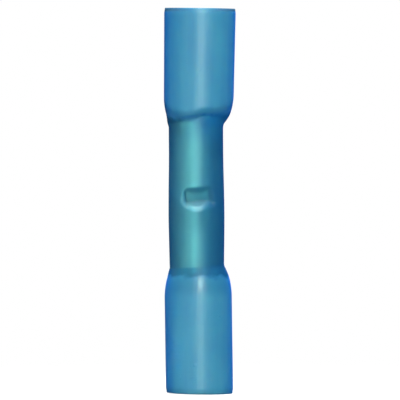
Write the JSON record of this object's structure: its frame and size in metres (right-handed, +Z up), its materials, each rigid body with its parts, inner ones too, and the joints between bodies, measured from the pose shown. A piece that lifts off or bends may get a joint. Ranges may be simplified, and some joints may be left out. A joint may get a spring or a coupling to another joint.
{
  "type": "butt splice connector",
  "caption": "Heat-shrink butt splice connector: a tinned crimp barrel with a dented wire stop, held in a blue glue-lined sleeve with an open bell at each end.",
  "frame": {"origin": "centre of the cut end of the lower bell, on the surface that the connector stands on", "axes": "+Z up along the sleeve; the dent of the wire stop faces -Y and the barrel lies towards -X"},
  "size_m": [0.0068, 0.0068, 0.037],
  "materials": {
    "jacket": "satin translucent blue polyolefin",
    "lining": "milky translucent hot-melt glue",
    "barrel": "satin tin plating on copper"
  },
  "bodies": {
    "root": {"heat_shrink_jacket": "jacket", "adhesive_lining": "lining", "crimp_barrel": "barrel"}
  },
  "joints": []
}
